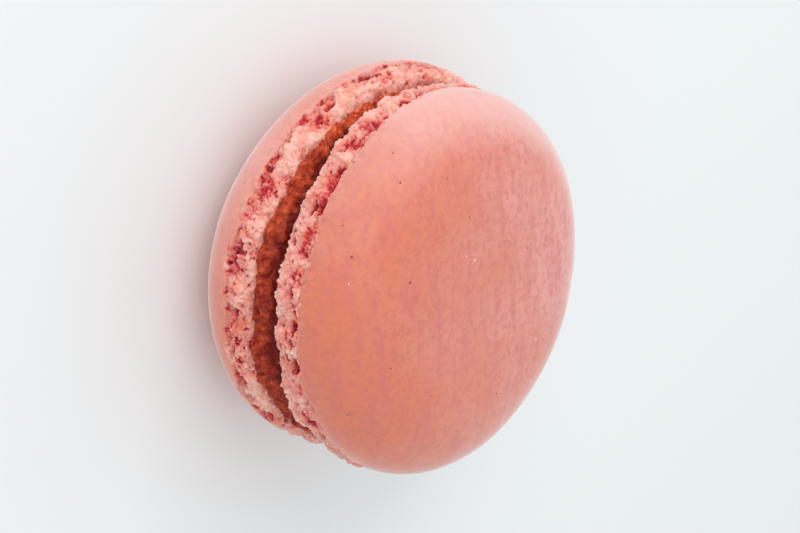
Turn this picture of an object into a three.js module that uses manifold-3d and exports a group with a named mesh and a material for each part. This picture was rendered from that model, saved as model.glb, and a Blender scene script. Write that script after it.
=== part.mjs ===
// A French macaron: two domed almond meringue shells with ruffled feet, stuck together by a soft filling.
// Millimetres, +Z up. It lies on the crown of its lower shell, with the origin under its middle.
// The upper shell sits askew, so the gap with the filling is open towards +X and almost closed towards -X.
import * as THREE from "three";
import { mergeVertices } from "three/addons/utils/BufferGeometryUtils.js";
import { ImprovedNoise } from "three/addons/math/ImprovedNoise.js";
import Module from "manifold-3d";

// Each shell: its radius at the widest line, and its heights, from the flat inner face up to the crown.
// The foot narrows by footTaper towards the inner face.
const lowerShellSize = { radius: 23.9, footHeight: 2.7, domeHeight: 8.9, footTaper: 0.9, seed: 11 };
const upperShellSize = { radius: 23.0, footHeight: 3.7, domeHeight: 8.4, footTaper: 0.2, seed: 83 };
const skirtHeight = 0.5; // from the top of the foot to the widest line, where the dome begins
const skirtTuck = 0.25; // how far the dome turns back in below its widest line
const skirtCurve = [[1, 0.12], [0.3, 0.5]]; // its points: shares of the tuck and of the skirt's height
const footInset = 0.15; // how far the foot's fullest line stays behind the widest line
const grooveDepth = 0.35; // of the crease between the foot and the skirt
const grooveStart = 0.7; // where the foot begins to draw in towards it, as a share of the foot's height
const domeFullness = 4.2; // power of the dome's curve: 2 is an ellipse, more is squarer
const footRounding = 0.5; // of the foot's edge at the inner face
const roundedShare = 0.25; // how much of the foot's height the rounding takes
const crownFlatRadius = 6.5; // the flat spot that the shell is baked with and stands on

// How the shells go together.
const gapMiddle = 2.7; // between the inner faces, at the axis
const tiltDegrees = 5.9; // of the upper shell
const openingDegrees = -12; // the direction of the widest gap, from +X towards +Y
const upperShellShift = [0.45, 0.23]; // across the lower shell

// The filling.
const fillingRadius = 22.5;
const fillingSide = [[1, 0.08], [0.992, 0.25], [0.972, 0.45], [0.95, 0.66], [0.925, 0.84], [0.89, 0.96]];
const fillingSag = 1.1; // how far it keeps below the upper shell at its edge, on the open side
const fillingPlay = 0.3; // between its top and the upper shell
const fillingHeldBack = 0.8; // how far its edge stays in where the shells are closest
const fillingLobeDepth = 0.35;
const fillingLobes = [2, 19]; // fewest and most in a turn
const fillingCrumbDepth = 0.5;
const fillingSeed = 47;

// Relief.
const frillDepth = 0.28; // lobes round the foot
const frillLobes = [9, 42]; // fewest and most in a turn
const crumbDepth = 0.55; // lumps in it
const crumbSize = 1.6;
const crumbLean = 0.6; // of the lumps along the foot
const edgeWander = 0.25; // how far the dome's lower edge goes up and down
const edgeWaves = [6, 34];
const outOfRound = 0.006; // as a share of the radius
const outOfRoundWaves = [2, 5];
const domeUnevenness = 0.12;
const domeLumpSize = 9;
const largePits = 11; // burst bubbles in the foot of each shell
const smallPits = 16;
const largePitRadius = 0.9;
const smallPitRadius = 0.55;
const pitShape = [0.9, 1.6, 0.7]; // inwards, along the foot and up, as shares of the pit's radius
const pitSinking = 0.2; // how far the middle of a pit is below the surface

// Fineness.
const shellSegments = 100;
const fillingSegments = 72;
const footRings = 8;
const domeRings = 7;

const { degToRad, smoothstep, clamp, lerp } = THREE.MathUtils;
const lowerShellHeight = shellHeight(lowerShellSize);
const openingAngle = degToRad(openingDegrees);
const tilt = degToRad(tiltDegrees);
const noise = new ImprovedNoise();
const wasm = await Module();
wasm.setup();

function shellHeight({ footHeight, domeHeight }) {
  return footHeight + skirtHeight + domeHeight;
}

// Numbers from 0 to 1 that are the same on every run.
function seededRandom(seed) {
  let state = seed >>> 0;
  return () => {
    state = (Math.imul(state, 1664525) + 1013904223) >>> 0;
    return state / 4294967296;
  };
}

// A wave round the edge, from -1 to 1, whose number of turns goes from low to high.
function edgeWave(seed, [low, high]) {
  const random = seededRandom(seed);
  const parts = [];
  for (let turns = low; turns <= high; turns += 1 + Math.floor(turns / 6)) {
    parts.push({ turns, phase: random() * 2 * Math.PI, size: 0.5 + random() });
  }
  const power = Math.sqrt(parts.reduce((sum, { size }) => sum + size ** 2, 0));
  return (angle) => {
    const heights = parts.map(({ turns, phase, size }) => size * Math.sin(turns * angle + phase));
    const sum = heights.reduce((total, height) => total + height, 0);
    return clamp((0.85 * sum) / power, -1, 1);
  };
}

// The half outline of a shell, from the axis at its inner face, out and up to the axis at its crown.
function shellOutline({ radius, footHeight, domeHeight, footTaper }) {
  const full = radius - footInset;
  const innerFace = full - footTaper - 3 * footRounding;
  const points = [[0, 0], [innerFace, 0]];
  for (let i = 0; i <= footRings; i++) {
    const share = i / footRings;
    const rounding = footRounding * Math.max(0, 1 - share / roundedShare) ** 2;
    const taper = footTaper * (1 - share) ** 2 + rounding;
    const groove = grooveDepth * smoothstep(share, grooveStart, 1);
    points.push([full - taper - groove, footHeight * share]);
  }
  for (const [tuck, rise] of skirtCurve) {
    points.push([radius - tuck * skirtTuck, footHeight + rise * skirtHeight]);
  }
  for (let i = 0; i < domeRings; i++) {
    const reach = lerp(crownFlatRadius, radius, Math.cos((i / domeRings) * 0.5 * Math.PI) ** 0.8);
    const rise = Math.sqrt(Math.max(0, 1 - (reach / radius) ** domeFullness));
    points.push([reach, footHeight + skirtHeight + domeHeight * rise]);
  }
  const height = footHeight + skirtHeight + domeHeight;
  points.push([crownFlatRadius, height], [0, height]);
  return points;
}

// A closed solid turned about +Z, with its seam and poles merged.
function turned(outline, segments) {
  const points = outline.map(([radius, height]) => new THREE.Vector2(radius, height));
  const geometry = new THREE.LatheGeometry(points, segments).rotateX(Math.PI / 2);
  geometry.deleteAttribute("normal");
  geometry.deleteAttribute("uv");
  return mergeVertices(geometry, 1e-4);
}

// Moves every point of a geometry: move takes its radius, angle and height, and gives back the new ones.
function reshape(geometry, move) {
  const position = geometry.getAttribute("position");
  for (let i = 0; i < position.count; i++) {
    const [x, y, z] = [position.getX(i), position.getY(i), position.getZ(i)];
    const [radius, angle, height] = move(Math.hypot(x, y), Math.atan2(y, x), z);
    position.setXYZ(i, radius * Math.cos(angle), radius * Math.sin(angle), height);
  }
  return geometry;
}

function toSolid(geometry) {
  return new wasm.Manifold(
    new wasm.Mesh({
      numProp: 3,
      vertProperties: geometry.getAttribute("position").array,
      triVerts: new Uint32Array(geometry.index.array),
    }),
  );
}

function toGeometry(solid) {
  const mesh = solid.getMesh();
  const geometry = new THREE.BufferGeometry();
  geometry.setAttribute("position", new THREE.BufferAttribute(mesh.vertProperties, 3));
  geometry.setIndex(new THREE.BufferAttribute(mesh.triVerts, 1));
  geometry.computeVertexNormals();
  return geometry;
}

// The foot's and the dome's unevenness, as a function that moves a point of the plain turned shell.
// Each kind of unevenness fades in and out over a short way in height, and starts near the rim.
function shellRelief({ radius: widest, footHeight, domeHeight, seed }) {
  const round = edgeWave(seed, outOfRoundWaves);
  const frill = edgeWave(seed + 1, frillLobes);
  const wander = edgeWave(seed + 2, edgeWaves);
  const domeBase = footHeight + skirtHeight;
  return (radius, angle, height) => {
    const [x, y] = [radius * Math.cos(angle), radius * Math.sin(angle)];
    const rim = smoothstep(radius, 0.88 * widest, 0.93 * widest);
    const foot = rim * (1 - smoothstep(height, footHeight - 0.3, footHeight + 0.1));
    const belowEdge = smoothstep(height, 0.4, footHeight - 0.3);
    const edge = rim * belowEdge * (1 - smoothstep(height, footHeight, domeBase + 1.5));
    const offCrown = smoothstep(radius, crownFlatRadius, 2 * crownFlatRadius);
    const dome = offCrown * smoothstep(height, footHeight, domeBase + 1);
    const crumb = noise.noise(x / crumbSize + seed, y / crumbSize, height / (0.6 * crumbSize));
    const turn = noise.noise(x / crumbSize, y / crumbSize + seed, height / (0.5 * crumbSize));
    const swell = noise.noise(x / domeLumpSize + seed, y / domeLumpSize, height / domeHeight);
    const push = foot * (frillDepth * frill(angle) + crumbDepth * crumb);
    return [
      radius * (1 + outOfRound * rim * round(angle)) + push,
      angle + (foot * crumbLean * turn) / widest,
      height + edgeWander * edge * wander(angle) + domeUnevenness * dome * swell,
    ];
  };
}

// A burst bubble in the foot: a flattened ball that lies along it.
function pitSolid(size, detail, { radius, angle, height }) {
  const ball = new THREE.IcosahedronGeometry(size, detail);
  ball.deleteAttribute("normal");
  ball.deleteAttribute("uv");
  const closed = mergeVertices(ball, 1e-4);
  closed.scale(...pitShape);
  closed.translate(radius, 0, height);
  closed.rotateZ(angle);
  return toSolid(closed);
}

// The large pits lie in a row under the dome's edge, and the small ones anywhere on the foot's face.
function shellPits({ radius, footHeight, seed }, relief) {
  const random = seededRandom(seed + 3);
  const onFoot = (angle, height) => {
    const [surface] = relief(radius - footInset, angle, height);
    return { radius: surface - pitSinking, angle, height };
  };
  const pits = [];
  for (let i = 0; i < largePits; i++) {
    const angle = ((i + 0.8 * random()) / largePits) * 2 * Math.PI;
    const height = footHeight * (0.8 + 0.15 * random());
    pits.push(pitSolid(largePitRadius * (0.75 + 0.5 * random()), 1, onFoot(angle, height)));
  }
  for (let i = 0; i < smallPits; i++) {
    const angle = ((i + random()) / smallPits) * 2 * Math.PI;
    const height = footHeight * (0.35 + 0.4 * random());
    pits.push(pitSolid(smallPitRadius * (0.8 + 0.5 * random()), 0, onFoot(angle, height)));
  }
  return pits;
}

// A whole shell with its inner face at height 0 and its crown up.
function shellGeometry(size) {
  const relief = shellRelief(size);
  const uneven = toSolid(reshape(turned(shellOutline(size), shellSegments), relief));
  const pitted = shellPits(size, relief).reduce((solid, pit) => solid.subtract(pit), uneven);
  const [largest] = pitted.decompose().sort((a, b) => b.volume() - a.volume());
  return toGeometry(largest);
}

// The slab of filling: flat below and widest there, and its top follows the upper shell's inner face.
// Its outline is given as shares of its radius and of its height.
function fillingGeometry() {
  const bottom = [[0, 0], [0.5, 0], [0.96, 0]];
  const top = [[0.8, 1], [0.6, 1], [0, 1]];
  const outline = [...bottom, ...fillingSide, ...top].map(([reach, rise]) => [reach * fillingRadius, rise]);
  const lobes = edgeWave(fillingSeed, fillingLobes);
  return reshape(turned(outline, fillingSegments), (radius, angle, rise) => {
    const rim = smoothstep(radius, 0.78 * fillingRadius, 0.95 * fillingRadius);
    const open = 0.5 + 0.5 * Math.cos(angle - openingAngle);
    const [x, y] = [radius * Math.cos(angle), radius * Math.sin(angle)];
    const crumb = noise.noise(x / crumbSize, y / crumbSize, 3 * rise + fillingSeed);
    const uneven = fillingLobeDepth * lobes(angle) + fillingCrumbDepth * crumb;
    const reach = radius + rim * (uneven - fillingHeldBack * (1 - open));
    const gap = gapMiddle + Math.tan(tilt) * reach * Math.cos(angle - openingAngle) - fillingPlay;
    return [reach, angle, rise * (gap - fillingSag * rim * open)];
  });
}

function sweetMaterial(color, roughness) {
  return new THREE.MeshStandardMaterial({ color, roughness, metalness: 0 });
}

function namedMesh(name, geometry, material) {
  const mesh = new THREE.Mesh(geometry, material);
  mesh.name = name;
  return mesh;
}

const macaron = new THREE.Group();

const lowerShell = namedMesh("lower_shell", shellGeometry(lowerShellSize), sweetMaterial(0xea9885, 0.75));
lowerShell.rotation.x = Math.PI;
lowerShell.position.z = lowerShellHeight;

const filling = namedMesh("filling", fillingGeometry(), sweetMaterial(0xb1442f, 0.5));
filling.position.z = lowerShellHeight;

const upperShell = namedMesh("upper_shell", shellGeometry(upperShellSize), sweetMaterial(0xea9885, 0.75));
const hinge = new THREE.Vector3(Math.sin(openingAngle), -Math.cos(openingAngle), 0);
upperShell.quaternion.setFromAxisAngle(hinge, tilt);
upperShell.position.set(...upperShellShift, lowerShellHeight + gapMiddle);

macaron.add(lowerShell, filling, upperShell);

export default macaron;
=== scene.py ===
# A French macaron that lies on one of its two almond meringue shells, with their crumbly feet and the
# paste between them. Shapes are worked out in millimetres, and a finished piece is in metres.
import math

import bmesh
import bpy
from mathutils import Matrix, Vector, noise


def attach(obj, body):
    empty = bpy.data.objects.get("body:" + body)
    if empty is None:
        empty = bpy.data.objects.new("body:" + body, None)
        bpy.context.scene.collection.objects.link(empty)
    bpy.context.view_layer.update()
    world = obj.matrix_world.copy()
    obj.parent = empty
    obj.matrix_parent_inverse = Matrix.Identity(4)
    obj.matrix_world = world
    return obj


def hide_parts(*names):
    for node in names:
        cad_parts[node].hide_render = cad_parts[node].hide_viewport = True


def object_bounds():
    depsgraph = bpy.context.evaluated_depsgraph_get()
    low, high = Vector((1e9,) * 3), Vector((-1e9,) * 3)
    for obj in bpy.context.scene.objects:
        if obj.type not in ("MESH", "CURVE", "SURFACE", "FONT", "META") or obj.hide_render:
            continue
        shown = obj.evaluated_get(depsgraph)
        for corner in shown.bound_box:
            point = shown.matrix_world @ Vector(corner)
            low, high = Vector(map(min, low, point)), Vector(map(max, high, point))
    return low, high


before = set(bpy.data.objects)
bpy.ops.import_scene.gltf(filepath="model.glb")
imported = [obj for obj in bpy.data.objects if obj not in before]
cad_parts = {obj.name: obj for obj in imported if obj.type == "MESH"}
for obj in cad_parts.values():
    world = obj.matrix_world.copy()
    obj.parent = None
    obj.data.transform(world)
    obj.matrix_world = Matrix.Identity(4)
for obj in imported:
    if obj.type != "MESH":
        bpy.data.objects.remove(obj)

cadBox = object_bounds()
mm = 0.001
fullTurn = 2 * math.pi
noise.seed_set(5)   # or noise_vector would change with the clock


def seededRandom(seed):  # the same numbers as the solids use for their frills and pits
    state = [seed]

    def draw():
        state[0] = (state[0] * 1664525 + 1013904223) % 4294967296
        return state[0] / 4294967296
    return draw


def smoothStep(value, low, high):
    share = min(max((value - low) / (high - low), 0.0), 1.0)
    return share * share * (3 - 2 * share)


def edgeWave(seed, low, high):  # a wave round the edge from -1 to 1, with low to high turns
    draw = seededRandom(seed)
    parts = []
    turns = low
    while turns <= high:
        phase = draw() * fullTurn
        parts.append((turns, phase, 0.5 + draw()))
        turns += 1 + turns // 6
    power = math.sqrt(sum(size * size for turns, phase, size in parts))

    def wave(angle):
        height = sum(size * math.sin(turns * angle + phase) for turns, phase, size in parts)
        return min(max(0.85 * height / power, -1.0), 1.0)   # its few highest tops are cut off
    return wave


def fbm(point, size, octaves):  # cloudy noise about 0, with its largest lumps size mm across
    return noise.fractal(point / size, 1.0, 2.0, octaves)


def creases(point, size):  # 0 along thin winding lines size mm apart, higher between them
    return abs(noise.noise(point / size))


def bubbles(point, spacing, least, spread):  # depth of round bubbles, whose radii are shares of their spacing
    nearest, middles = noise.voronoi(point / spacing)
    radius = least + spread * noise.cell(middles[0] * 9.1)   # times 9.1, so that neighbours differ
    return spacing * math.sqrt(max(radius * radius - nearest[0] ** 2, 0))


def spinProfile(profile, segments):  # a closed solid of revolution from (radius, height) points, in mm
    mesh = bmesh.new()
    points = [mesh.verts.new((radius, 0, height)) for radius, height in profile]
    edges = [mesh.edges.new(pair) for pair in zip(points, points[1:])]
    slices = 32   # one slice is spun and then doubled until it goes all round, because a long spin is slow
    bmesh.ops.spin(mesh, geom=points + edges, cent=(0, 0, 0), axis=(0, 0, 1), dvec=(0, 0, 0),
                   angle=fullTurn / slices, steps=segments // slices, use_merge=False, use_duplicate=False)
    done = 1
    while done < slices:
        copied = bmesh.ops.duplicate(mesh, geom=mesh.verts[:] + mesh.edges[:] + mesh.faces[:])["geom"]
        turned = [part for part in copied if isinstance(part, bmesh.types.BMVert)]
        bmesh.ops.rotate(mesh, verts=turned, cent=(0, 0, 0),
                         matrix=Matrix.Rotation(fullTurn * done / slices, 3, "Z"))
        done *= 2
    bmesh.ops.remove_doubles(mesh, verts=mesh.verts, dist=1e-4)   # closes the seams and the poles
    bmesh.ops.recalc_face_normals(mesh, faces=mesh.faces)
    mesh.normal_update()
    return mesh


def finishPiece(mesh, name, material, replaced):  # from a bmesh in mm to a piece in metres
    bmesh.ops.recalc_face_normals(mesh, faces=mesh.faces)
    bmesh.ops.scale(mesh, vec=(mm, mm, mm), verts=mesh.verts)
    data = bpy.data.meshes.new(name)
    mesh.to_mesh(data)
    mesh.free()
    data.shade_smooth()
    data.materials.append(material)
    piece = bpy.data.objects.new(name, data)
    bpy.context.collection.objects.link(piece)
    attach(piece, "root")
    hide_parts(replaced)


crust = {  # both shells: sizes in mm, heights from the flat inner face
    "footInset": 0.15,        # the foot's fullest line behind the widest line
    "footRounding": 0.5,      # of the foot's edge at the inner face
    "roundedShare": 0.25,     # how much of the foot's height that takes
    "grooveDepth": 0.35,      # of the crease between foot and dome
    "grooveStart": 0.7,       # where the foot begins to draw in towards it, as a share of its height
    "skirtHeight": 0.5,       # from the top of the foot to the widest line
    "skirtTuck": 0.25,        # how far the dome turns back in below it
    "domeFullness": 4.2,      # 2 is an ellipse, more is squarer
    "crownFlat": 6.5,         # radius of the flat spot that it rests on
    "rim": (0.88, 0.93),      # shares of the radius between which the unevenness of the edge sets in
    "outOfRound": 0.006, "roundWaves": (2, 5),    # share of the radius, and fewest and most waves in a turn
    "frillDepth": 0.28, "frillWaves": (9, 42),
    "edgeWander": 0.25, "edgeWaves": (6, 34),     # up and down of the dome's lower edge
    "biteSize": 1.1, "bite": 0.45,                # small bites out of that edge
    "lumpSize": 9, "lumpHeight": 0.12,            # of the dome
    "crumbReach": 1.8,        # how far the crumb runs in on the inner face
    "segments": 1152,
    "innerRows": 9, "footRows": 36, "skirtRows": 8, "domeRows": 26,
}
# litSide and rimLightStrength set a painted light on each shell: how much paler its rim is painted towards
# the side the light falls from
lowerShell = {"node": "lower_shell", "radius": 23.9, "footHeight": 2.7, "domeHeight": 8.9, "footTaper": 0.9,
              "seed": 11, "litSide": math.radians(120), "rimLightStrength": 0.45}
upperShell = {"node": "upper_shell", "radius": 23.0, "footHeight": 3.7, "domeHeight": 8.4, "footTaper": 0.2,
              "seed": 83, "litSide": math.radians(150), "rimLightStrength": 1.0}


def footEdge(shell):  # radius where the inner face ends and the foot's rounding begins
    return shell["radius"] - crust["footInset"] - shell["footTaper"] - crust["footRounding"]


def footProfile(shell):  # from the inner face up to the crease under the dome
    full = shell["radius"] - crust["footInset"]
    points = []
    for row in range(crust["footRows"] + 1):
        share = row / crust["footRows"]
        taper = shell["footTaper"] * (1 - share) ** 2
        rounding = crust["footRounding"] * max(0, 1 - share / crust["roundedShare"]) ** 2
        groove = crust["grooveDepth"] * smoothStep(share, crust["grooveStart"], 1)
        points.append((full - taper - rounding - groove, shell["footHeight"] * share))
    return points


def domeProfile(shell):  # from above the crease out to the widest line, and over to the axis at the crown
    base = shell["footHeight"] + crust["skirtHeight"]
    crown = base + shell["domeHeight"]
    points = []
    for row in range(1, crust["skirtRows"]):
        share = row / crust["skirtRows"]
        tuck = crust["skirtTuck"] * (1 - share) ** 2
        points.append((shell["radius"] - tuck, shell["footHeight"] + crust["skirtHeight"] * share))
    for row in range(crust["domeRows"]):
        turn = math.cos(0.5 * math.pi * (row / crust["domeRows"]) ** 1.5) ** 0.8   # close rows at the edge
        reach = crust["crownFlat"] + (shell["radius"] - crust["crownFlat"]) * turn
        rise = math.sqrt(max(0, 1 - (reach / shell["radius"]) ** crust["domeFullness"]))
        points.append((reach, base + shell["domeHeight"] * rise))
    return points + [(crust["crownFlat"], crown), (0, crown)]


def shellProfile(shell):  # from the axis at the inner face, out and up to the axis at the crown
    points = [(0, 0), (0.5 * footEdge(shell), 0)]
    for row in range(crust["innerRows"]):
        points.append((footEdge(shell) - crust["crumbReach"] * (1 - row / crust["innerRows"]), 0))
    return points + footProfile(shell) + domeProfile(shell)


def shellWaves(shell):  # what varies slowly round the shell, for each column of points
    seed = shell["seed"]
    waves = {
        "round": edgeWave(seed, *crust["roundWaves"]),
        "frill": edgeWave(seed + 1, *crust["frillWaves"]),
        "edge": edgeWave(seed + 2, *crust["edgeWaves"]),
    }
    angles = [fullTurn * column / crust["segments"] for column in range(crust["segments"])]
    return {name: [wave(angle) for angle in angles] for name, wave in waves.items()}


def findSpot(shell, point):  # where a point of the smooth shell is
    angle = math.atan2(point.y, point.x)
    return {
        "reach": math.hypot(point.x, point.y),
        "height": point.z,
        "angle": angle,
        "column": round(angle / fullTurn * crust["segments"]) % crust["segments"],
        "outward": Vector((math.cos(angle), math.sin(angle), 0)),
        "place": point + Vector((shell["seed"], shell["seed"], 0)),   # so that the two shells differ
    }


def waveCrust(shell, spot, start, waves):
    # out of round, frilled at the foot, bitten along the lip and uneven on the dome: each of these sets in
    # and dies away over a short way, so that it leaves no step
    reach, height, column = spot["reach"], spot["height"], spot["column"]
    top = shell["footHeight"]
    base = top + crust["skirtHeight"]
    rim = smoothStep(reach, *[share * shell["radius"] for share in crust["rim"]])
    onFoot = rim * (1 - smoothStep(height, top - 0.3, top + 0.1))
    onEdge = rim * smoothStep(height, 0.4, top - 0.3) * (1 - smoothStep(height, top, base + 1.5))
    onLip = rim * smoothStep(height, top, base) * (1 - smoothStep(height, base, base + 1.2))
    offCrown = smoothStep(reach, crust["crownFlat"], 2 * crust["crownFlat"])
    onDome = offCrown * smoothStep(height, top, base + 1)
    push = reach * crust["outOfRound"] * rim * waves["round"][column]
    push += onFoot * crust["frillDepth"] * waves["frill"][column]
    push -= onLip * crust["bite"] * max(0, noise.noise(spot["place"] / crust["biteSize"]))
    moved = start + push * spot["outward"]
    moved.z += crust["edgeWander"] * onEdge * waves["edge"][column]
    moved.z += crust["lumpHeight"] * onDome * fbm(spot["place"], crust["lumpSize"], 2)
    return moved


foam = {  # the torn surface under the skin: sizes and heights in mm
    "bendSize": 0.9, "bend": 0.3,            # sideways wandering of the knobs, grains and bubbles
    "knobSize": 1.9, "knobHeight": 0.36,
    "grainSize": 0.65, "grainHeight": 0.4,
    "flakeSize": 0.33, "flakeHeight": 0.24,
    "gritSize": 0.18, "gritHeight": 0.08,
    "sink": 0.1,                             # brings the whole back to its middle
    "bubbles": (1.1, 0.08, 0.34),            # spacing, least radius and its spread as shares of the spacing
    "pores": (0.6, 0.16, 0.26), "poreDepth": 1.5,
    "mostInward": 0.05,                      # rise on the inner face, where the filling touches
    "shiftSize": 0.45, "shift": 0.06,
    "tearSize": 1.3, "tear": 0.6,            # of the ragged line where the skin begins
    "nickSize": 0.5, "nick": 0.3,
    "skinStart": 0.15,                       # above the top of the foot
    "shadeByHeight": 1.45, "shadeAtRest": 0.08,   # painted light and shade: how far the colours go pale for raised crumb and deep red for sunk crumb, and how much deeper they go towards the skin
    "shadeAtSkin": 0.16,                          # and how much deeper they take it towards the skin
}


def crumbRelief(point):  # height of baked and torn foam
    bent = point + foam["bend"] * noise.noise_vector(point / foam["bendSize"])
    relief = foam["knobHeight"] * fbm(bent, foam["knobSize"], 2)
    relief += foam["grainHeight"] * creases(bent, foam["grainSize"])
    relief += foam["flakeHeight"] * creases(point, foam["flakeSize"]) - foam["sink"]
    relief -= bubbles(bent, *foam["bubbles"])
    relief -= foam["poreDepth"] * bubbles(point, *foam["pores"])
    return relief + foam["gritHeight"] * noise.noise(point / foam["gritSize"])


def crumbleFoot(shell, spot, moved, normal):  # gives how far this is foam, and a painted light and shade from how raised it is
    height, place, top = spot["height"], spot["place"], shell["footHeight"]
    skinStart = top + foam["skinStart"] + foam["tear"] * noise.noise(place / foam["tearSize"])
    skinStart += foam["nick"] * noise.noise(place / foam["nickSize"])
    crumb = smoothStep(spot["reach"], footEdge(shell) - crust["crumbReach"], footEdge(shell) - 0.3)
    crumb *= 1 - smoothStep(height, skinStart - 0.1, skinStart + 0.2)
    if crumb == 0:
        return 0, 0
    rise = crumbRelief(place)
    if height < 0.01:
        rise = min(rise, foam["mostInward"])
    moved += crumb * (rise * normal + foam["shift"] * noise.noise_vector(place / foam["shiftSize"]))
    nearSkin = smoothStep(height, 0.4, 0.85 * top)
    # painted light and shade: paler where the crumb is raised, darker where it is sunk and towards the skin
    paintedShading = foam["shadeByHeight"] * rise + foam["shadeAtRest"] - foam["shadeAtSkin"] * nearSkin
    return crumb, crumb * paintedShading


# burst bubbles in the foot, in mm: heights are shares of the foot's and sizes are shares of the radius, each
# given as the least and the spread of what is drawn
pits = {
    "large": {"count": 11, "jitter": 0.8, "heights": (0.8, 0.15), "radius": 0.9, "sizes": (0.75, 0.5)},
    "small": {"count": 16, "jitter": 1, "heights": (0.35, 0.4), "radius": 0.55, "sizes": (0.8, 0.5)},
    "tear": {"count": 19, "jitter": 1, "heights": (0.7, 0.2), "radius": 0.5, "sizes": (0.5, 0.7),
             "step": (0.6, 0.7), "unevenness": 0.5},   # rows of small ones run together under the dome
    "sinking": 0.2,
    "stretch": (0.9, 1.6, 0.7),       # inwards, along the foot, up
    "fullness": 0.9,                  # of the outline, before it is made ragged
    "ragSize": 0.55, "rag": 0.7,      # of the outline, a share of the radius
    "follow": 0.25,                   # how far the wall goes in and out with the foot
    "lumpSize": 0.4, "lump": 0.12,    # of the wall
    "shadeFrom": 0.2, "shadeByDepth": 1.35,   # painted shade: only what is sunk deeper than this takes the holes' dark red, darker with depth
}


def pitPlaces(shell):  # (angle, height, size) of each burst bubble
    draw = seededRandom(shell["seed"] + 3)

    def drawFrom(least, spread):
        return least + spread * draw()
    places = []
    for kind in ("large", "small", "tear"):
        made = pits[kind]
        for i in range(made["count"]):
            angle = (i + made["jitter"] * draw()) / made["count"] * fullTurn
            height = shell["footHeight"] * drawFrom(*made["heights"])
            if kind != "tear":
                places.append((angle, height, made["radius"] * drawFrom(*made["sizes"])))
                continue
            for link in range(2 + int(4 * draw())):
                angle += drawFrom(*made["step"]) / shell["radius"]
                up = made["unevenness"] * (draw() - 0.5)
                places.append((angle, height + up, made["radius"] * drawFrom(*made["sizes"])))
    return places


def nearHoles(shell, frill):  # for each column of points, the burst bubbles that it may cross
    segments = crust["segments"]
    columns = [[] for column in range(segments)]
    for angle, height, size in pitPlaces(shell):
        middle = round(angle / fullTurn * segments)
        deep, long, high = [size * stretch for stretch in pits["stretch"]]
        surface = shell["radius"] - crust["footInset"] - pits["sinking"]
        surface += crust["frillDepth"] * frill[middle % segments]
        span = math.ceil(long / shell["radius"] / fullTurn * segments)
        for column in range(middle - span, middle + span + 1):
            along = (column - middle) / segments * fullTurn * shell["radius"] / long
            if abs(along) < 1:
                columns[column % segments].append((along, surface, height, deep, high))
    return columns


def openHoles(shell, spot, moved, holes, crumb, paintedShading):  # sinks a point that is inside a burst bubble, and paints shade on it by how deep it sinks
    if not 0.2 < spot["height"] < shell["footHeight"] + crust["skirtHeight"] + 0.6:
        return crumb, paintedShading
    for along, surface, height, deep, high in holes[spot["column"]]:
        up = (moved.z - height) / high
        ragged = pits["fullness"] - along * along - up * up
        ragged += pits["rag"] * noise.noise(spot["place"] / pits["ragSize"])
        if ragged > 0 and along * along + up * up < 1:
            wall = surface - deep * math.sqrt(ragged) + pits["follow"] * (spot["reach"] - shell["radius"])
            wall += pits["lump"] * noise.noise(spot["place"] / pits["lumpSize"])
            sunk = moved.dot(spot["outward"]) - wall
            if sunk > 0:
                moved -= sunk * spot["outward"]
                # painted shade: the deeper the point sinks into the hole, the darker red it is painted
                paintedShading = min(paintedShading, -pits["shadeByDepth"] * (sunk - pits["shadeFrom"]))
                crumb = 1
    return crumb, paintedShading


def bakeShell(mesh, shell):
    # moves the smooth shell's points to its uneven baked form, and notes there what the colours need,
    # including the painted light and shade of the crumb and the painted light on the rim
    foot, relief, paintedRimLight = [mesh.verts.layers.float.new(name) for name in ("foot", "relief", "paintedRimLight")]
    waves = shellWaves(shell)
    holes = nearHoles(shell, waves["frill"])
    smoothInside = footEdge(shell) - crust["crumbReach"] - 0.01
    for vert in mesh.verts:
        spot = findSpot(shell, vert.co)
        if spot["reach"] < smoothInside and spot["height"] < 0.01:
            continue
        moved = waveCrust(shell, spot, vert.co, waves)
        crumb, paintedShading = crumbleFoot(shell, spot, moved, vert.normal)
        crumb, paintedShading = openHoles(shell, spot, moved, holes, crumb, paintedShading)
        # painted light: paler towards the lit side of the rim
        sideways = 0.5 + 0.5 * math.cos(spot["angle"] - shell["litSide"])
        outer = smoothStep(spot["reach"], 0.6 * shell["radius"], shell["radius"])
        vert.co = moved
        vert[foot] = crumb
        # relief holds painted light and shade: pale on raised crumb, deep red in sunk crumb and in the holes
        vert[relief] = min(max(0.5 + paintedShading, 0), 1)
        # painted light: the dome's rim is paler on the side the light falls from
        vert[paintedRimLight] = shell["rimLightStrength"] * sideways * outer


stack = {  # how the shells go together, in mm and degrees
    "gap": 2.7,
    "tilt": 5.9,
    "opening": -12,         # the side where they stand furthest apart
    "shift": (0.45, 0.23),
}
lowerHeight = lowerShell["footHeight"] + crust["skirtHeight"] + lowerShell["domeHeight"]
tilt = math.radians(stack["tilt"])
opening = math.radians(stack["opening"])


def layDown(mesh):  # turned over, so that it stands on its crown
    turn = Matrix.Translation((0, 0, lowerHeight)) @ Matrix.Rotation(math.pi, 4, "X")
    bmesh.ops.transform(mesh, matrix=turn, verts=mesh.verts)


def putOnTop(mesh):  # askew on the filling
    hinge = Vector((math.sin(opening), -math.cos(opening), 0))
    place = Matrix.Translation((*stack["shift"], lowerHeight + stack["gap"]))
    bmesh.ops.transform(mesh, matrix=place @ Matrix.Rotation(tilt, 4, hinge), verts=mesh.verts)


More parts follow.
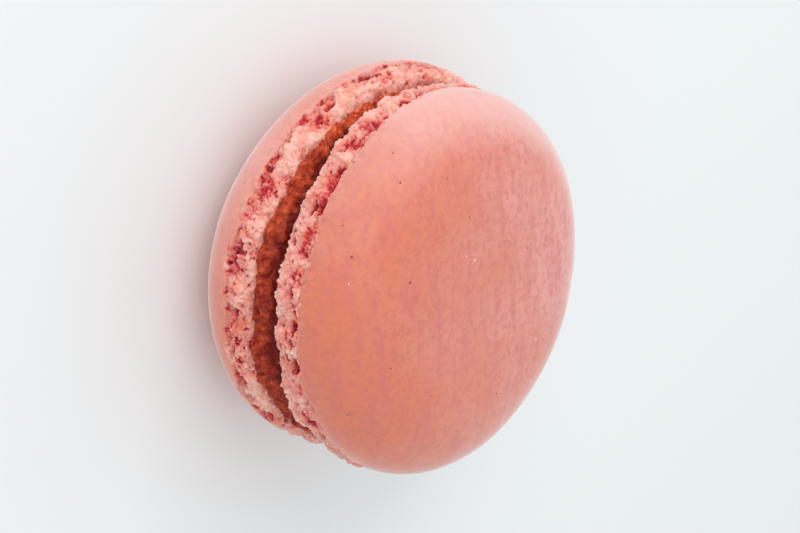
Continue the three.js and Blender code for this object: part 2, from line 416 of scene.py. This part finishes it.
paste = {  # the filling, in mm
    "radius": 22.5,
    # its side from below, as shares of the radius and of the gap
    "side": [(1, 0.08), (0.992, 0.25), (0.972, 0.45), (0.95, 0.66), (0.925, 0.84), (0.89, 0.96)],
    "sag": 1.1,             # how far it keeps below the upper shell at its edge, on the open side
    "play": 0.3,            # between its top and the upper shell
    "rim": (0.78, 0.95),    # shares of the radius between which the unevenness sets in
    "lobes": 0.35, "lobeWaves": (2, 19),
    "heldBack": 0.8,        # how far its edge stays in where the shells are closest
    "swellSize": 3.1, "swell": 0.4,
    "bendSize": 1.6, "bend": 0.5,
    "bitSize": 1.3, "bit": 0.8, "bitMiddle": 0.55,
    "grainSize": 0.6, "grain": 0.4,
    "gritSize": 0.3, "grit": 0.22,
    "grainSink": 0.08,      # brings the grains back to their middle
    "holes": (0.9, 0.1, 0.3), "holeDepth": 0.6,
    "topCalm": 0.85,        # how much of the side's roughness is lost towards the top,
    "topRough": 0.6,        # and how much of it goes up and down there
    "settle": 0.3,          # how far it sinks between the bits
    "shadeByGrain": 0.8, "shadeAtTop": 0.7,   # painted shade: what the colours take for raised grains and sunk holes, and for deep under the upper shell
    "segments": 1024,
    "sideRows": 36, "topRows": 16,
    "seed": 47,
}


def pasteProfile():  # heights here are shares of the gap
    side, rows = paste["side"], paste["sideRows"]
    points = [(0, 0), (0.5, 0), (0.9, 0), (0.96, 0)]
    for row in range(rows + 1):
        share = row / rows * (len(side) - 1)
        low = min(int(share), len(side) - 2)
        points.append(tuple(a + (b - a) * (share - low) for a, b in zip(side[low], side[low + 1])))
    for row in range(1, paste["topRows"]):
        share = row / paste["topRows"]
        points.append((0.9 - 0.2 * share, 0.96 + 0.04 * smoothStep(share, 0, 0.5)))
    points += [(0.7, 1), (0.35, 1), (0, 1)]
    return [(reach * paste["radius"], rise) for reach, rise in points]


def pasteGrain(place):  # gives the share of stirred bits, and the height of grains and holes
    bent = place + paste["bend"] * noise.noise_vector(place / paste["bendSize"])
    bits = 0.5 + 0.5 * fbm(bent, paste["bitSize"], 3)
    grains = paste["grain"] * creases(bent, paste["grainSize"])
    grains += paste["grit"] * creases(place, paste["gritSize"])
    return bits, grains - paste["grainSink"] - paste["holeDepth"] * bubbles(bent, *paste["holes"])


def squeeze(radius, angle, rise, lobes):  # where a point of the slab goes between the shells
    away = math.cos(angle - opening)
    isOpen = 0.5 + 0.5 * away
    rim = smoothStep(radius, *[share * paste["radius"] for share in paste["rim"]])
    reach = radius + rim * (paste["lobes"] * lobes(angle) - paste["heldBack"] * (1 - isOpen))
    gap = stack["gap"] + math.tan(tilt) * reach * away - paste["play"]
    return reach, rise * (gap - paste["sag"] * rim * isOpen), gap, rim, isOpen


def spreadPaste(mesh):  # squeezes the slab between the shells, and roughens its side
    grain = mesh.verts.layers.float.new("grain")
    lobes = edgeWave(paste["seed"], *paste["lobeWaves"])
    for vert in mesh.verts:
        x, y, rise = vert.co
        angle = math.atan2(y, x)
        reach, height, gap, rim, isOpen = squeeze(math.hypot(x, y), angle, rise, lobes)
        place = Vector((reach * math.cos(angle), reach * math.sin(angle), height))
        bits, grains = pasteGrain(place)
        rough = paste["swell"] * fbm(place, paste["swellSize"], 2)
        rough = rough + paste["bit"] * (bits - paste["bitMiddle"]) + grains
        upper = smoothStep(rise, 0.5, 0.95)
        reach += rim * rough * (1 - paste["topCalm"] * upper)
        if rise > 0.02:   # what is lower stays on the shell
            height += rim * smoothStep(rise, 0, 0.1) * paste["settle"] * (bits - 1) * min(gap, 1)
            height += rim * isOpen * upper * paste["topRough"] * rough
        vert.co = (reach * math.cos(angle), reach * math.sin(angle), lowerHeight + height)
        # the grain attribute: stirred bits, with painted shade in the holes between grains and deep under the
        # upper shell
        underShell = smoothStep(rise, 0.4, 0.9)
        vert[grain] = bits + paste["shadeByGrain"] * grains - paste["shadeAtTop"] * underShell


def hexColor(code):  # sRGB hex to the linear values that the shaders take
    parts = [int(code[i:i + 2], 16) / 255 for i in (1, 3, 5)]
    return tuple(c / 12.92 if c <= 0.04045 else ((c + 0.055) / 1.055) ** 2.4 for c in parts) + (1.0,)


def perMetre(size):  # pattern scale for features of so many mm on Object coordinates
    return 1 / (size * mm)


def newMaterial(name):
    material = bpy.data.materials.new(name)
    material.use_nodes = True
    material.node_tree.nodes.clear()
    return material, material.node_tree


def addNode(tree, kind, settings={}, inputs={}, ramp=()):
    # an input is a value or the socket to link, and a ramp's stop is a place with a hex colour or a grey
    node = tree.nodes.new("ShaderNode" + kind)
    for name, value in settings.items():
        setattr(node, name, value)
    for name, value in inputs.items():
        if isinstance(value, bpy.types.NodeSocket):
            tree.links.new(value, node.inputs[name])
        else:
            node.inputs[name].default_value = value
    for i, (place, color) in enumerate(ramp):
        stops = node.color_ramp.elements
        stop = stops[i] if i < len(stops) else stops.new(place)
        stop.position = place
        stop.color = hexColor(color) if isinstance(color, str) else (color, color, color, 1)
    return node


blend = {"data_type": "RGBA"}   # a Mix of colours has them on inputs 6 and 7, and the result on output 2
meringueColors = {
    "warm": "#dc7c5f", "plain": "#de8976", "rosy": "#e59a92", "pale": "#eab6ae",
    "streak": "#d47270", "mottle": "#cf7062", "speck": "#a04438", "fleck": "#f6cdb4",
    # deep and holeShade are painted shade in the foam's holes, crumbPale and ridgeHighlight a painted
    # highlight on its raised crumb
    "deep": "#a00820", "holeShade": "#d84040", "crumb": "#ec9286", "crumbPale": "#f3a698", "ridgeHighlight": "#fabeae",
    "raw": "#f4b4ac", "toasted": "#fff8e0",
}
meringueSizes = {  # of its patterns, in mm
    "clouds": 14, "streaks": 1.6, "mottle": 0.85, "specks": 1.3, "skinGrain": 0.16,
    "foamGrain": 0.7, "raw": 2.6, "toasted": 1.3,
}
skinLightSlope = (-9.5, 6, 0)   # painted light: the skin's tone rises towards -X and +Y, rosier and paler on the lit side and more orange away from it: change of tone per metre


def skinColor(tree, where):
    # clouds from orange to rose, drawn-out streaks and a fine mottle, with painted light: rosier towards the
    # lit side and paler at the rim there
    colors, sizes = meringueColors, meringueSizes
    clouds = addNode(tree, "TexNoise", {"noise_dimensions": "4D"},
                     {"Vector": where, "W": 6.8, "Scale": perMetre(sizes["clouds"]), "Detail": 3.0,
                      "Roughness": 0.55})
    across = addNode(tree, "VectorMath", {"operation": "DOT_PRODUCT"}, {0: where, 1: skinLightSlope})
    tone = addNode(tree, "Math", {"operation": "ADD"}, {0: clouds.outputs["Fac"], 1: across.outputs["Value"]})
    skin = addNode(tree, "ValToRGB", {}, {"Fac": tone.outputs[0]},
                   [(0.28, colors["warm"]), (0.5, colors["plain"]), (0.75, colors["rosy"])]).outputs["Color"]
    drawn = addNode(tree, "Mapping", {"vector_type": "TEXTURE"},
                    {"Vector": where, "Scale": (6, 1, 1), "Rotation": (0, 0, math.radians(35))})
    streaks = addNode(tree, "TexNoise", {},
                      {"Vector": drawn.outputs["Vector"], "Scale": perMetre(sizes["streaks"]), "Detail": 3.0,
                       "Roughness": 0.6, "Distortion": 0.3})
    mottle = addNode(tree, "TexNoise", {}, {"Vector": where, "Scale": perMetre(sizes["mottle"]),
                                            "Detail": 4.0, "Roughness": 0.7})
    paintedRimLight = addNode(tree, "Attribute", {"attribute_name": "paintedRimLight"})
    # painted light: the rim is painted paler on the lit side
    lift = addNode(tree, "Math", {"operation": "MULTIPLY_ADD"},
                   {0: clouds.outputs["Fac"], 1: 0.5, 2: paintedRimLight.outputs["Fac"]})
    for pattern, begins, full, most, tint in (
            (streaks.outputs["Fac"], 0.49, 0.7, 0.7, "streak"),
            (mottle.outputs["Fac"], 0.46, 0.68, 0.85, "mottle"),
            (lift.outputs[0], 0.45, 1.0, 0.7, "pale")):
        amount = addNode(tree, "ValToRGB", {}, {"Fac": pattern}, [(begins, 0.0), (full, most)])
        skin = addNode(tree, "Mix", blend, {0: amount.outputs["Color"], 6: skin,
                                            7: hexColor(colors[tint])}).outputs[2]
    return skin


def speckColor(tree, where, skin):
    # bits of almond skin and meal, about 0.3 mm across, one in the middle of a cell here and there
    cells = addNode(tree, "TexVoronoi", {}, {"Vector": where, "Scale": perMetre(meringueSizes["specks"])})
    pick = addNode(tree, "SeparateColor", {}, {"Color": cells.outputs["Color"]})
    size = addNode(tree, "MapRange", {}, {"Value": pick.outputs["Green"], "To Min": 0.07, "To Max": 0.15})
    shape = addNode(tree, "Math", {"operation": "LESS_THAN"},
                    {0: cells.outputs["Distance"], 1: size.outputs["Result"]})
    for operation, limit, color in (("GREATER_THAN", 0.925, "speck"), ("LESS_THAN", 0.03, "fleck")):
        chosen = addNode(tree, "Math", {"operation": operation}, {0: pick.outputs["Red"], 1: limit})
        amount = addNode(tree, "Math", {"operation": "MULTIPLY"}, {0: shape.outputs[0], 1: chosen.outputs[0]})
        skin = addNode(tree, "Mix", blend, {0: amount.outputs[0], 6: skin,
                                            7: hexColor(meringueColors[color])}).outputs[2]
    return skin


def foamColor(tree, where, foamNoise):  # pale on the crumb's ridges as a painted highlight, deep red in its holes as painted shade, rawer in places
    colors = meringueColors
    # the relief attribute carries the crumb's painted light and shade
    paintedShading = addNode(tree, "Attribute", {"attribute_name": "relief"})
    uneven = addNode(tree, "MapRange", {}, {"Value": foamNoise, "From Min": 0.3, "From Max": 0.7,
                                            "To Min": -0.2, "To Max": 0.2})
    shade = addNode(tree, "Math", {"operation": "ADD"},
                    {0: paintedShading.outputs["Fac"], 1: uneven.outputs["Result"]})
    crumb = addNode(tree, "ValToRGB", {}, {"Fac": shade.outputs[0]},
                    [(0.02, colors["deep"]), (0.2, colors["holeShade"]), (0.4, colors["crumb"]),
                     (0.62, colors["crumbPale"]), (0.85, colors["ridgeHighlight"])]).outputs["Color"]
    for tint, begins, full in (("raw", 0.5, 0.72), ("toasted", 0.48, 0.66)):
        patches = addNode(tree, "TexNoise", {}, {"Vector": where, "Scale": perMetre(meringueSizes[tint]),
                                                 "Detail": 3.0, "Roughness": 0.6})
        amount = addNode(tree, "ValToRGB", {}, {"Fac": patches.outputs["Fac"]}, [(begins, 0.0), (full, 0.85)])
        crumb = addNode(tree, "Mix", {"data_type": "RGBA", "blend_type": "MULTIPLY"},
                        {0: amount.outputs["Color"], 6: crumb, 7: hexColor(colors[tint])}).outputs[2]
    return crumb


def meringueMaterial():
    # almond meringue, piped, dried and baked: a matt eggshell skin with faint clouds and streaks of colour, a
    # few dark almond specks, and under the skin a torn pink foam whose holes are painted deep red for their
    # shade and the light glowing in them, and whose ridges are painted pale as if lit
    material, tree = newMaterial("almondMeringue")
    where = addNode(tree, "TexCoord").outputs["Object"]
    onFoot = addNode(tree, "Attribute", {"attribute_name": "foot"}).outputs["Fac"]
    foamNoise = addNode(tree, "TexNoise", {}, {"Vector": where, "Scale": perMetre(meringueSizes["foamGrain"]),
                                               "Detail": 4.0, "Roughness": 0.7}).outputs["Fac"]
    skin = speckColor(tree, where, skinColor(tree, where))
    color = addNode(tree, "Mix", blend, {0: onFoot, 6: skin, 7: foamColor(tree, where, foamNoise)})
    grain = addNode(tree, "TexNoise", {}, {"Vector": where, "Scale": perMetre(meringueSizes["skinGrain"]),
                                           "Detail": 3.0, "Roughness": 0.6})
    skinBump = addNode(tree, "Bump", {}, {"Height": grain.outputs["Fac"], "Strength": 0.25,
                                          "Distance": 0.05 * mm})
    bump = addNode(tree, "Bump", {}, {"Height": foamNoise, "Strength": onFoot, "Distance": 0.25 * mm,
                                      "Normal": skinBump.outputs["Normal"]})
    roughness = addNode(tree, "MapRange", {}, {"Value": onFoot, "To Min": 0.58, "To Max": 0.78})
    shader = addNode(tree, "BsdfPrincipled", {}, {
        "Base Color": color.outputs[2], "Roughness": roughness.outputs["Result"], "IOR": 1.45,
        "Normal": bump.outputs["Normal"], "Subsurface Weight": 0.2, "Subsurface Scale": 0.4 * mm,
        "Subsurface Radius": (1.0, 0.35, 0.25), "Sheen Weight": 0.8, "Sheen Roughness": 0.35})
    addNode(tree, "OutputMaterial", {}, {"Surface": shader.outputs["BSDF"]})
    return material


pasteColors = {
    # deep is the painted shade in the paste's creases and under the upper shell
    "deep": "#6e140c", "dark": "#8c1c14", "peel": "#aa4428", "plain": "#c64428", "bright": "#de7446",
    "crumb": "#e8a074",
}
pasteClouds = 1.1         # mm
pasteLightSlope = (-4, 2, 0)   # painted light: the paste's tone rises towards -X and +Y, lighter on the lit side and darker away from it: change of tone per metre


def pasteMaterial():
    # caramel and fruit paste, stirred and piped: brown-orange and grainy, a little moist, with painted shade
    # in its creases and under the upper shell, and painted light making it lighter on one side
    material, tree = newMaterial("fruitPaste")
    where = addNode(tree, "TexCoord").outputs["Object"]
    clouds = addNode(tree, "TexNoise", {}, {"Vector": where, "Scale": perMetre(pasteClouds), "Detail": 5.0,
                                            "Roughness": 0.75})
    across = addNode(tree, "VectorMath", {"operation": "DOT_PRODUCT"}, {0: where, 1: pasteLightSlope})
    tone = addNode(tree, "Math", {"operation": "ADD"}, {0: clouds.outputs["Fac"], 1: across.outputs["Value"]})
    base = addNode(tree, "ValToRGB", {}, {"Fac": tone.outputs[0]},
                   [(0.34, pasteColors["dark"]), (0.44, pasteColors["peel"]), (0.51, pasteColors["plain"]),
                    (0.6, pasteColors["bright"]), (0.72, pasteColors["crumb"])])
    grain = addNode(tree, "Attribute", {"attribute_name": "grain"})
    # painted shade: the deep colour comes in where the grain attribute is low
    pasteShade = addNode(tree, "ValToRGB", {}, {"Fac": grain.outputs["Fac"]}, [(0.0, 1.0), (0.5, 0.0)])
    color = addNode(tree, "Mix", blend, {0: pasteShade.outputs["Color"], 6: base.outputs["Color"],
                                         7: hexColor(pasteColors["deep"])})
    shader = addNode(tree, "BsdfPrincipled", {}, {
        "Base Color": color.outputs[2], "Roughness": 0.55, "IOR": 1.4, "Specular IOR Level": 0.25,
        "Subsurface Weight": 0.2, "Subsurface Scale": 0.6 * mm, "Subsurface Radius": (1.0, 0.4, 0.2)})
    addNode(tree, "OutputMaterial", {}, {"Surface": shader.outputs["BSDF"]})
    return material


studio = {  # sizes in metres
    "floor": "#eff2f2",
    "floorSize": 3.0,
    "floorDrop": 0.00002,   # under the crown, so that no two faces share a plane
    "air": "#fafdff",
    "airStrength": 0.87,
    "lampFrom": (-0.66, -0.60, 0.46),
    "lampAway": 0.6,
    "lampSize": 0.45,
    "lampPower": 1.6,
}


def lookAxes(back, up):  # right, up and back of a thing that looks along -back
    back = Vector(back).normalized()
    right = Vector(up).cross(back).normalized()
    return right, back.cross(right), back


def aim(thing, place, target, up):
    turn = Matrix(lookAxes(place - target, up)).transposed()
    thing.matrix_world = Matrix.Translation(place) @ turn.to_4x4()


def makeFloor():
    # matt white paint, rolled on board: a plain pale ground
    material, tree = newMaterial("whiteBoardPaint")
    shader = addNode(tree, "BsdfPrincipled", {}, {"Base Color": hexColor(studio["floor"]), "Roughness": 0.8})
    addNode(tree, "OutputMaterial", {}, {"Surface": shader.outputs["BSDF"]})
    mesh = bmesh.new()
    bmesh.ops.create_grid(mesh, x_segments=1, y_segments=1, size=studio["floorSize"] / 2)
    bmesh.ops.translate(mesh, vec=(0, 0, -studio["floorDrop"]), verts=mesh.verts)
    data = bpy.data.meshes.new("floor")
    mesh.to_mesh(data)
    mesh.free()
    data.materials.append(material)
    floor = bpy.data.objects.new("floor", data)
    bpy.context.collection.objects.link(floor)


def makeLight(middle):  # an even bright room, and one broad lamp to the side
    world = bpy.data.worlds.new("softRoom")
    world.use_nodes = True
    bpy.context.scene.world = world
    air = world.node_tree.nodes["Background"]
    air.inputs["Color"].default_value = hexColor(studio["air"])
    air.inputs["Strength"].default_value = studio["airStrength"]
    lamp = bpy.data.lights.new("softBox", "AREA")
    lamp.size = studio["lampSize"]
    lamp.energy = studio["lampPower"]
    box = bpy.data.objects.new("softBox", lamp)
    bpy.context.collection.objects.link(box)
    aim(box, middle + Vector(studio["lampFrom"]).normalized() * studio["lampAway"], middle, (0, 0, 1))


cameraView = {
    "away": 159.2,                      # mm from the macaron's middle
    "from": (0, -0.776, 0.631),         # the way there
    "up": (-0.913, -0.258, -0.317),     # what points up in the render
    "lookBeside": (-0.9, 0.4),          # mm right of and above the middle, as the camera sees it
    "lens": 60.1, "sensor": 36.0,       # mm
    "clipStart": 0.01,                  # metres
}


def makeCamera(middle):
    data = bpy.data.cameras.new("camera")
    data.lens = cameraView["lens"]
    data.sensor_width = cameraView["sensor"]
    data.clip_start = cameraView["clipStart"]
    camera = bpy.data.objects.new("camera", data)
    bpy.context.collection.objects.link(camera)
    right, up, back = lookAxes(cameraView["from"], cameraView["up"])
    beside, above = cameraView["lookBeside"]
    target = middle + (beside * right + above * up) * mm
    aim(camera, middle + back * cameraView["away"] * mm, target, cameraView["up"])
    bpy.context.scene.camera = camera
    bpy.context.scene.view_settings.view_transform = "Standard"   # colours come out as they were given


meringue = meringueMaterial()
for shell, settle in ((lowerShell, layDown), (upperShell, putOnTop)):
    mesh = spinProfile(shellProfile(shell), crust["segments"])
    bakeShell(mesh, shell)
    settle(mesh)
    finishPiece(mesh, shell["node"] + "_baked", meringue, shell["node"])
    print(shell["node"], "baked")

mesh = spinProfile(pasteProfile(), paste["segments"])
spreadPaste(mesh)
finishPiece(mesh, "filling_spread", pasteMaterial(), "filling")
print("filling spread")

middle = Vector([(low + high) / 2 for low, high in zip(*cadBox)])
makeFloor()
makeLight(middle)
makeCamera(middle)
print("floor, light and camera set")
